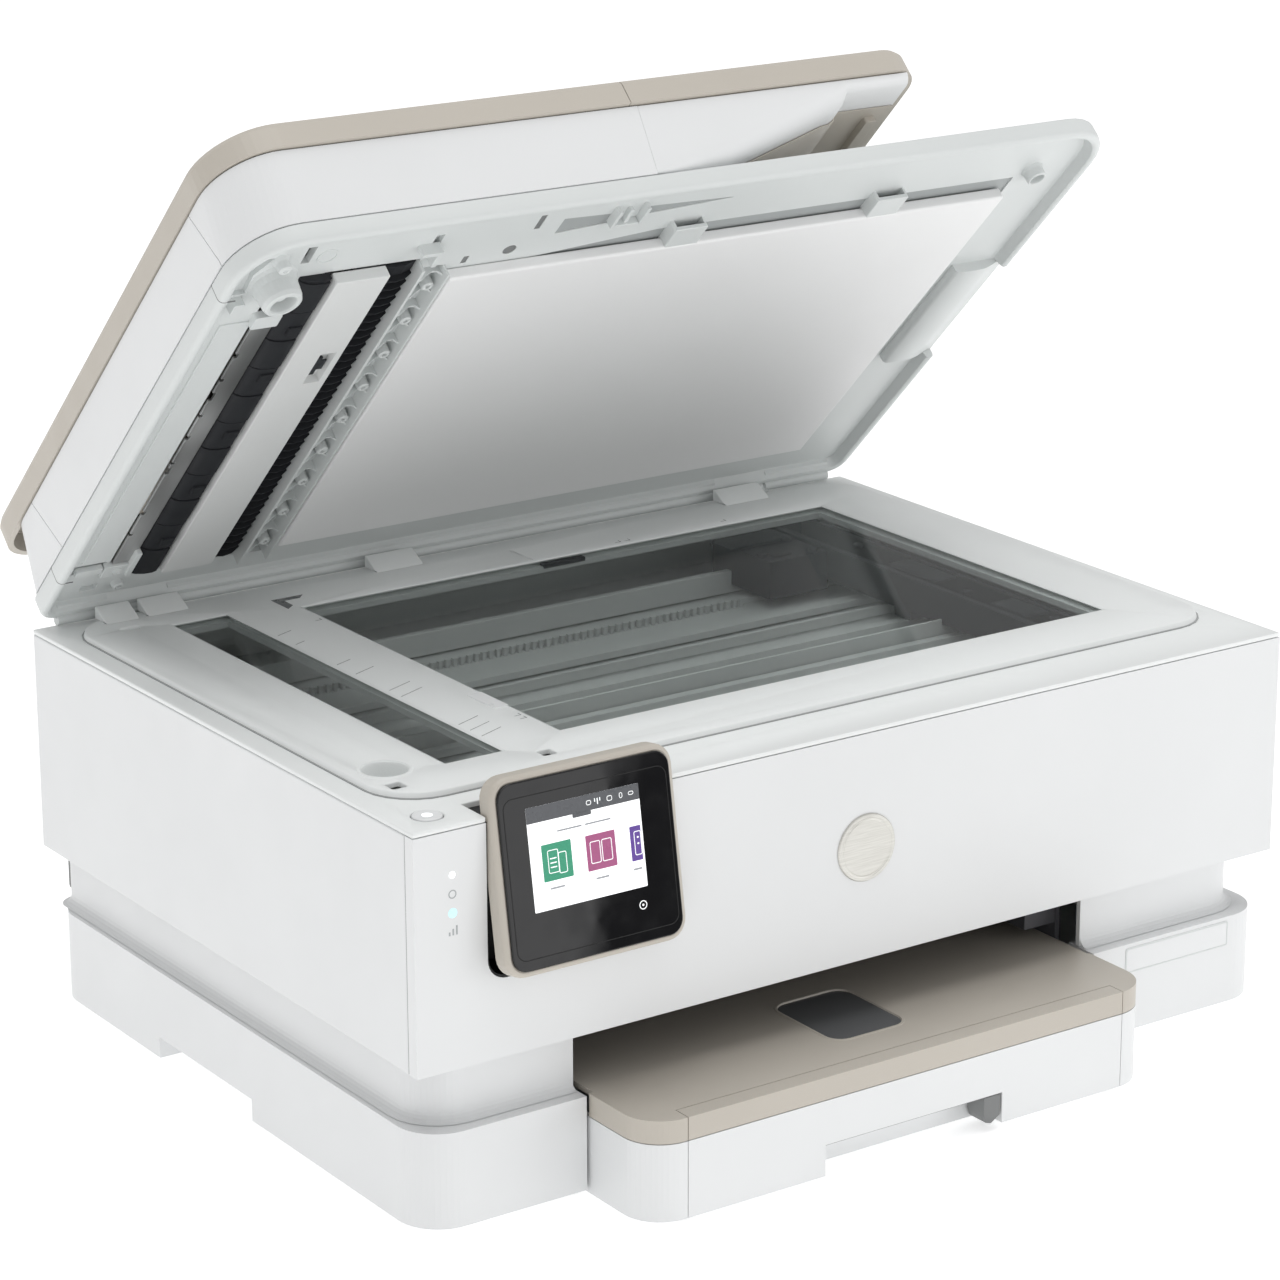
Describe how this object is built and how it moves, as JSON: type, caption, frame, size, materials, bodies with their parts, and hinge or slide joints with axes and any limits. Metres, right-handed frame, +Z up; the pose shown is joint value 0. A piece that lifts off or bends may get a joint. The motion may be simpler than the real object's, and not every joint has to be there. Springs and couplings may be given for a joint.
{
  "type": "all-in-one inkjet printer",
  "caption": "All-in-one inkjet printer with front paper trays, flatbed scanner, tilting touch panel and a raised lid that carries a document feeder.",
  "frame": {"origin": "middle of the bottom of the overall box, on the surface the feet stand on", "axes": "+X to the user's right along the front, +Y from the front to the back, +Z up"},
  "size_m": [0.46, 0.4122, 0.434],
  "materials": {
    "white_shell": "fine matte moulding, cool white",
    "light_moulding": "satin pale grey moulding",
    "beige_moulding": "smooth satin warm greige",
    "charcoal_moulding": "satin dark grey",
    "black_gloss": "gloss black front of the touch panel and inlet",
    "grey_moulding": "plain mid grey inner moulding",
    "bright_steel": "plain rolled steel sheet",
    "soft_rubber": "matte dark rubber",
    "clear_glass": "polished clear glass",
    "smoke_window": "smoked translucent plastic",
    "green_board": "green laminate with solder mask",
    "blue_guide": "satin blue moulding"
  },
  "bodies": {
    "base": {"base_tub": "white_shell", "waist_frame": "white_shell", "foot_1": "soft_rubber", "foot_2": "soft_rubber", "foot_3": "soft_rubber", "foot_4": "soft_rubber", "power_inlet": "black_gloss", "main_board": "green_board", "power_supply": "charcoal_moulding", "tray_bay": "white_shell", "output_tray": "beige_moulding", "output_window": "smoke_window", "cavity_liner": "charcoal_moulding", "chassis": "bright_steel", "carriage_rail": "bright_steel", "print_platen": "black_gloss", "drive_belt": "soft_rubber", "carriage_motor": "bright_steel", "service_station": "charcoal_moulding"},
    "scanner": {"scanner_shell": "white_shell", "front_panel": "white_shell", "top_deck": "light_moulding", "scanner_pan": "grey_moulding", "platen_glass": "clear_glass", "feeder_glass": "clear_glass", "lid_hinge_left": "light_moulding", "lid_hinge_right": "light_moulding"},
    "lid": {"lid_frame": "light_moulding", "backing_mat": "white_shell", "feeder_body": "white_shell", "input_tray": "white_shell", "pressure_plate": "white_shell", "roller_guide": "charcoal_moulding"},
    "feeder_cover": {"feeder_cover": "beige_moulding", "feeder_door": "white_shell"},
    "flip_cover": {"flip_cover": "beige_moulding"},
    "pick_roller": {"pick_roller": "soft_rubber"},
    "document_guide_front": {"document_guide_front": "light_moulding"},
    "document_guide_rear": {"document_guide_rear": "light_moulding"},
    "control_panel": {"panel_shell": "beige_moulding", "panel_glass": "black_gloss"},
    "power_button": {"power_button": "white_shell"},
    "scan_carriage": {"scan_carriage": "charcoal_moulding"},
    "scan_pinion": {"scan_pinion": "light_moulding"},
    "paper_tray": {"paper_tray": "white_shell"},
    "paper_guide_left": {"paper_guide_left": "blue_guide"},
    "paper_guide_right": {"paper_guide_right": "blue_guide"},
    "paper_stop": {"paper_stop": "blue_guide"},
    "output_extender": {"output_extender": "beige_moulding"},
    "print_carriage": {"print_carriage": "charcoal_moulding", "cartridge_colour": "black_gloss", "cartridge_black": "black_gloss"},
    "latch_colour": {"latch_colour": "light_moulding"},
    "latch_black": {"latch_black": "light_moulding"},
    "motor_pulley": {"motor_pulley": "light_moulding"},
    "idler_pulley": {"idler_pulley": "light_moulding"},
    "feed_roller": {"feed_roller": "soft_rubber"},
    "idler_gear": {"idler_gear": "light_moulding"},
    "output_roller": {"output_roller": "soft_rubber"},
    "rear_door": {"rear_door": "white_shell"}
  },
  "joints": [
    {"name": "scanner_lift", "type": "hinge", "parent": "base", "child": "scanner", "pos_m": [0, 0.1569, 0.076], "axis": [1, 0, 0], "range_deg": [-30, 0]},
    {"name": "lid_hinge", "type": "hinge", "parent": "scanner", "child": "lid", "pos_m": [0, 0.1629, 0.1815], "axis": [1, 0, 0], "range_deg": [-20, 45]},
    {"name": "panel_tilt", "type": "hinge", "parent": "scanner", "child": "control_panel", "pos_m": [-0.151, -0.1551, 0.186], "axis": [1, 0, 0], "range_deg": [-30, 8.5]},
    {"name": "power_button_press", "type": "slide", "parent": "scanner", "child": "power_button", "axis": [0, 0, -1], "range_m": [0, 0.0015], "stiffness_N_per_m": 400, "springref_m": -0.0005},
    {"name": "scan_travel", "type": "slide", "parent": "scanner", "child": "scan_carriage", "axis": [1, 0, 0], "range_m": [-0.33, 0]},
    {"name": "scan_pinion_spin", "type": "hinge", "parent": "scan_carriage", "child": "scan_pinion", "pos_m": [0.135, 0.0919, 0.156], "axis": [0, 1, 0], "continuous": true},
    {"name": "feeder_cover_hinge", "type": "hinge", "parent": "lid", "child": "feeder_cover", "pos_m": [-0.229, 0.06376, 0.2945], "axis": [0, -0.7071, 0.7071], "range_deg": [0, 65]},
    {"name": "flip_cover_hinge", "type": "hinge", "parent": "lid", "child": "flip_cover", "pos_m": [-0.03, 0.09431, 0.32504], "axis": [0, -0.7071, 0.7071], "range_deg": [0, 110]},
    {"name": "pick_roller_spin", "type": "hinge", "parent": "lid", "child": "pick_roller", "pos_m": [-0.144, 0.0738, 0.30454], "axis": [0, -0.7071, 0.7071], "continuous": true},
    {"name": "document_guide_front_slide", "type": "slide", "parent": "lid", "child": "document_guide_front", "axis": [0, 0.7071, -0.7071], "range_m": [0, 0.06]},
    {"name": "document_guide_rear_slide", "type": "slide", "parent": "lid", "child": "document_guide_rear", "axis": [0, 0.7071, -0.7071], "range_m": [-0.06, 0]},
    {"name": "paper_tray_slide", "type": "slide", "parent": "base", "child": "paper_tray", "axis": [0, -1, 0], "range_m": [0, 0.15]},
    {"name": "paper_guide_left_slide", "type": "slide", "parent": "paper_tray", "child": "paper_guide_left", "axis": [1, 0, 0], "range_m": [0, 0.05]},
    {"name": "paper_guide_right_slide", "type": "slide", "parent": "paper_tray", "child": "paper_guide_right", "axis": [1, 0, 0], "range_m": [-0.05, 0]},
    {"name": "paper_stop_slide", "type": "slide", "parent": "paper_tray", "child": "paper_stop", "axis": [0, 1, 0], "range_m": [0, 0.06]},
    {"name": "extender_slide", "type": "slide", "parent": "base", "child": "output_extender", "axis": [0, -1, 0], "range_m": [0, 0.11]},
    {"name": "carriage_travel", "type": "slide", "parent": "base", "child": "print_carriage", "axis": [1, 0, 0], "range_m": [-0.28, 0]},
    {"name": "motor_pulley_spin", "type": "hinge", "parent": "base", "child": "motor_pulley", "pos_m": [0.175, 0.0269, 0.115], "axis": [0, 0, 1], "continuous": true},
    {"name": "idler_pulley_spin", "type": "hinge", "parent": "base", "child": "idler_pulley", "pos_m": [-0.175, 0.0269, 0.115], "axis": [0, 0, 1], "continuous": true},
    {"name": "latch_colour_hinge", "type": "hinge", "parent": "print_carriage", "child": "latch_colour", "pos_m": [0.124, 0.0009, 0.1124], "axis": [1, 0, 0], "range_deg": [-35, 0]},
    {"name": "latch_black_hinge", "type": "hinge", "parent": "print_carriage", "child": "latch_black", "pos_m": [0.164, 0.0009, 0.1124], "axis": [1, 0, 0], "range_deg": [-35, 0]},
    {"name": "feed_roller_spin", "type": "hinge", "parent": "base", "child": "feed_roller", "pos_m": [0, 0.0009, 0.057], "axis": [1, 0, 0], "continuous": true},
    {"name": "idler_gear_spin", "type": "hinge", "parent": "base", "child": "idler_gear", "pos_m": [-0.192, -0.0261, 0.057], "axis": [1, 0, 0], "continuous": true},
    {"name": "output_roller_spin", "type": "hinge", "parent": "base", "child": "output_roller", "pos_m": [0, -0.0531, 0.057], "axis": [1, 0, 0], "continuous": true},
    {"name": "rear_door_hinge", "type": "hinge", "parent": "base", "child": "rear_door", "pos_m": [-0.01, 0.1609, 0.0126], "axis": [1, 0, 0], "range_deg": [-80, 0]}
  ],
  "couplings": [
    {"joint": "scan_pinion_spin", "follows": "scan_travel", "rad_per_m": 200},
    {"joint": "document_guide_rear_slide", "follows": "document_guide_front_slide", "ratio": -1},
    {"joint": "paper_guide_right_slide", "follows": "paper_guide_left_slide", "ratio": -1},
    {"joint": "motor_pulley_spin", "follows": "carriage_travel", "rad_per_m": 143.9},
    {"joint": "idler_pulley_spin", "follows": "carriage_travel", "rad_per_m": 143.9},
    {"joint": "idler_gear_spin", "follows": "feed_roller_spin", "ratio": -1},
    {"joint": "output_roller_spin", "follows": "feed_roller_spin", "ratio": 1}
  ]
}
